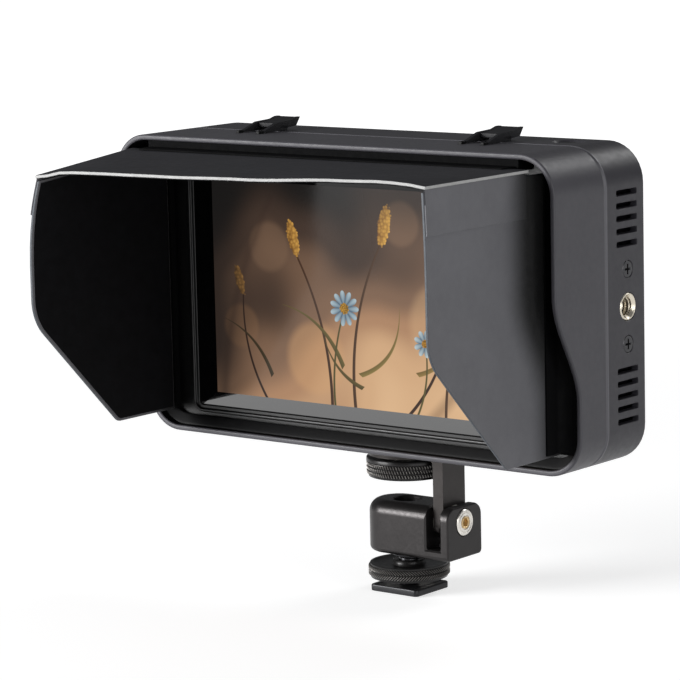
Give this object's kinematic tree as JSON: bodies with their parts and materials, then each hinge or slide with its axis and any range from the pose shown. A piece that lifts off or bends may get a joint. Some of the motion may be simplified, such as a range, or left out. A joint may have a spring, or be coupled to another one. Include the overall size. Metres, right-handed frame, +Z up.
{
  "type": "camera field monitor with sun hood",
  "caption": "Small flat camera monitor with a folding sun hood, on a tilting accessory shoe mount with knurled lock wheels.",
  "frame": {"origin": "centre of the shoe foot's underside, on the axis of its stud", "axes": "+Z up along the stud, +Y towards the monitor's back, +X to the right seen from the front"},
  "size_m": [0.168, 0.1022, 0.1484],
  "materials": {
    "shoe_black": "satin",
    "dark_steel": "satin",
    "bright_steel": "polished",
    "nylon": "matte",
    "dark_alloy": "satin",
    "rubber_pad": "matte",
    "casing_grey": "fine grain",
    "frame_grey": "fine grain",
    "bezel_black": "fine grain",
    "clear_glass": "polished",
    "picture": "lit picture",
    "diffuser": "matte",
    "bare_alloy": "brushed",
    "board_green": "solder mask",
    "chip_black": "matte",
    "ribbon_amber": "smooth",
    "screw_steel": "bright",
    "socket_metal": "plated",
    "socket_plastic": "matte",
    "insert_metal": "turned",
    "plate_black": "fine grain",
    "contact_gold": "plated",
    "button_black": "satin",
    "latch_black": "satin",
    "rail_black": "matte",
    "hood_skin": "fine grain",
    "flock": "flocked"
  },
  "bodies": {
    "shoe_base": {"foot_plate": "shoe_black", "stud_screw": "dark_steel"},
    "lock_washer": {"lock_washer": "bright_steel"},
    "lock_wheel": {"lock_wheel": "dark_alloy"},
    "yoke": {"yoke_block": "dark_alloy", "pivot_screw": "bright_steel", "pivot_washers": "nylon"},
    "arm": {"tilt_arm": "dark_alloy", "arm_pad": "rubber_pad"},
    "knob_washer": {"knob_washer": "bright_steel"},
    "thumb_knob": {"thumb_knob": "dark_alloy", "mount_screw": "bright_steel"},
    "monitor": {"rear_casing": "casing_grey", "front_bezel": "bezel_black", "cover_glass": "clear_glass", "display_panel": "picture", "backlight": "diffuser", "display_tray": "bare_alloy", "main_board": "board_green", "board_chips": "chip_black", "heat_spreader": "bare_alloy", "display_ribbon": "ribbon_amber", "board_screws": "screw_steel", "hdmi_sockets": "socket_metal", "power_socket": "socket_plastic", "usb_socket": "socket_metal", "phone_socket": "socket_plastic", "side_insert": "insert_metal", "bottom_insert": "insert_metal", "insert_screws": "dark_steel", "case_screws": "dark_steel", "battery_plate": "plate_black", "battery_contacts": "contact_gold", "battery_screws": "dark_steel", "switch_board": "board_green", "push_switch": "socket_metal"},
    "power_button": {"power_button": "button_black"},
    "battery_release": {"battery_release": "plate_black"},
    "hood_frame": {"hood_frame": "frame_grey", "hood_side_rails": "rail_black", "hood_top_rail": "rail_black"},
    "latch_left": {"hood_latch_left": "latch_black"},
    "latch_right": {"hood_latch_right": "latch_black"},
    "hood_left": {"hood_side_left": "hood_skin", "side_lining_left": "flock"},
    "hood_right": {"hood_side_right": "hood_skin", "side_lining_right": "flock"},
    "hood_top": {"hood_top": "hood_skin", "top_lining": "flock"}
  },
  "joints": [
    {"name": "lock_travel", "type": "slide", "parent": "shoe_base", "child": "lock_washer", "axis": [0, 0, 1], "range_m": [-0.00154, 0.00118]},
    {"name": "lock_spin", "type": "hinge", "parent": "lock_washer", "child": "lock_wheel", "pos_m": [0, 0, 0.0066], "axis": [0, 0, 1], "range_deg": [-440, 340]},
    {"name": "yoke_swivel", "type": "hinge", "parent": "shoe_base", "child": "yoke", "pos_m": [0, 0, 0.0126], "axis": [0, 0, 1], "continuous": true},
    {"name": "tilt", "type": "hinge", "parent": "yoke", "child": "arm", "pos_m": [0, 0, 0.0239], "axis": [1, 0, 0], "range_deg": [-90, 90]},
    {"name": "knob_travel", "type": "slide", "parent": "arm", "child": "knob_washer", "axis": [0, 0, 1], "range_m": [-0.0038, 0]},
    {"name": "knob_spin", "type": "hinge", "parent": "knob_washer", "child": "thumb_knob", "pos_m": [0, 0, 0.0401], "axis": [0, 0, 1], "range_deg": [-1080, 0]},
    {"name": "monitor_pan", "type": "hinge", "parent": "arm", "child": "monitor", "pos_m": [0, 0, 0.0482], "axis": [0, 0, 1], "range_deg": [-180, 180]},
    {"name": "power_press", "type": "slide", "parent": "monitor", "child": "power_button", "axis": [0, 0, -1], "range_m": [0, 0.0006], "stiffness_N_per_m": 800},
    {"name": "release_press", "type": "slide", "parent": "monitor", "child": "battery_release", "axis": [0, -1, 0], "range_m": [0, 0.002], "stiffness_N_per_m": 300},
    {"name": "hood_slide", "type": "slide", "parent": "monitor", "child": "hood_frame", "axis": [0, -1, 0], "range_m": [0, 0.03]},
    {"name": "latch_left_lift", "type": "hinge", "parent": "monitor", "child": "latch_left", "pos_m": [-0.0431, -0.0197, 0.1451], "axis": [1, 0, 0], "range_deg": [0, 12], "stiffness_Nm_per_rad": 0.3},
    {"name": "latch_right_lift", "type": "hinge", "parent": "monitor", "child": "latch_right", "pos_m": [0.0431, -0.0197, 0.1451], "axis": [1, 0, 0], "range_deg": [0, 12], "stiffness_Nm_per_rad": 0.3},
    {"name": "left_fold", "type": "hinge", "parent": "hood_frame", "child": "hood_left", "pos_m": [-0.0751, -0.0256, 0.0968], "axis": [0, 0, 1], "range_deg": [0, 88]},
    {"name": "right_fold", "type": "hinge", "parent": "hood_frame", "child": "hood_right", "pos_m": [0.0751, -0.0256, 0.0968], "axis": [0, 0, -1], "range_deg": [0, 88]},
    {"name": "top_lift", "type": "hinge", "parent": "hood_frame", "child": "hood_top", "pos_m": [0, -0.0396, 0.1398], "axis": [-1, 0, 0], "range_deg": [0, 80]}
  ],
  "couplings": [
    {"joint": "lock_spin", "follows": "lock_travel", "rad_per_m": 4947.4},
    {"joint": "knob_spin", "follows": "knob_travel", "rad_per_m": 4947.4}
  ]
}
